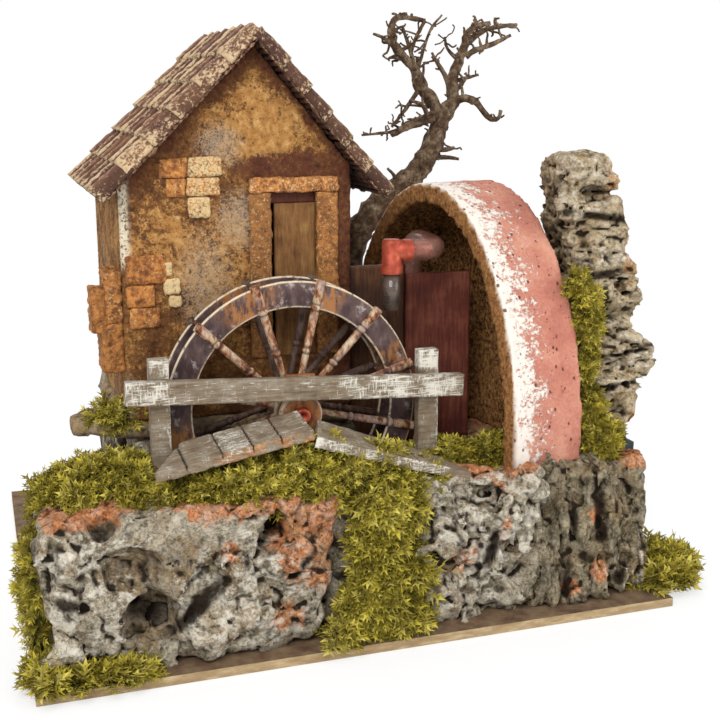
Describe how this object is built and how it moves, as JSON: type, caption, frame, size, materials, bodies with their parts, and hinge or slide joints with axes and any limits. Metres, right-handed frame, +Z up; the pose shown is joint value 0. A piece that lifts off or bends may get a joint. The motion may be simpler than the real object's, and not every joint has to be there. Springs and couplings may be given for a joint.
{
  "type": "model watermill",
  "caption": "Craft model of a watermill: gabled house with barrel tiles, turning wheel over a basin, arch with a spout, bark rocks, moss and a bare tree on a board.",
  "frame": {"origin": "centre of the base board's underside", "axes": "+Z up, +X to the right along the board's front edge, +Y away from the front edge, along the wheel's axle"},
  "size_m": [0.305, 0.245, 0.265],
  "materials": {
    "fibreboard": "brown painted top, bare tan edge",
    "cork_rock": "grey natural bark, cracked, ochre patches",
    "moss": "dyed dry moss, loose fibres",
    "basin_black": "black, matt",
    "wall_plaster": "rough, ochre stippled over dark brown",
    "painted_brick": "rough, orange with cream highlights",
    "door_wood": "ochre stained",
    "roof_board": "raw underside, dark",
    "roof_tile": "terracotta, drybrushed cream",
    "wheel_paint": "plum brown paint with worn edges",
    "spoke_wood": "turned wood, cream with orange streaks",
    "copper": "bright copper",
    "weathered_wood": "grey brown, white drybrush",
    "arch_clay": "pink clay, pores, ragged white band",
    "screen_red": "maroon streaked",
    "screen_brown": "dark brown streaked",
    "clear_tube": "clear plastic",
    "twig": "dry bark"
  },
  "bodies": {
    "mill": {"base_board": "fibreboard", "rock_front_left": "cork_rock", "rock_front_middle": "cork_rock", "rock_front_right": "cork_rock", "rock_front_corner": "cork_rock", "rock_left_side": "cork_rock", "rock_under_house": "cork_rock", "rock_back_right": "cork_rock", "house_shelf": "cork_rock", "water_basin": "basin_black", "house_front_wall": "wall_plaster", "house_back_wall": "wall_plaster", "house_left_wall": "wall_plaster", "house_right_wall": "wall_plaster", "door_panel": "door_wood", "door_lintel": "painted_brick", "door_jambs": "painted_brick", "roof_left_board": "roof_board", "roof_right_board": "roof_board", "roof_left_tiles": "roof_tile", "roof_right_tiles": "roof_tile", "brick_patches": "painted_brick", "corner_stones": "painted_brick", "front_bearing": "weathered_wood", "back_bearing": "weathered_wood", "front_rail": "weathered_wood", "rail_posts": "weathered_wood", "cover_plank_left": "weathered_wood", "cover_plank_right": "weathered_wood", "arch_shell": "arch_clay", "arch_end": "arch_clay", "screen_red": "screen_red", "screen_brown": "screen_brown", "spout_elbow": "copper", "drop_tube": "clear_tube", "feed_hose": "clear_tube", "bark_pillar": "cork_rock", "tree": "twig", "moss_left": "moss", "moss_under_planks": "moss", "moss_fall": "moss", "moss_arch": "moss", "moss_right": "moss", "moss_pillar": "moss", "moss_back": "moss"},
    "wheel": {"wheel_rings": "wheel_paint", "wheel_front_spokes": "spoke_wood", "wheel_back_spokes": "spoke_wood", "wheel_paddles": "wheel_paint", "wheel_hub": "wheel_paint", "wheel_axle": "copper"}
  },
  "joints": [
    {"name": "wheel_spin", "type": "hinge", "parent": "mill", "child": "wheel", "pos_m": [-0.0235, -0.0645, 0.0945], "axis": [0, 1, 0], "continuous": true}
  ]
}
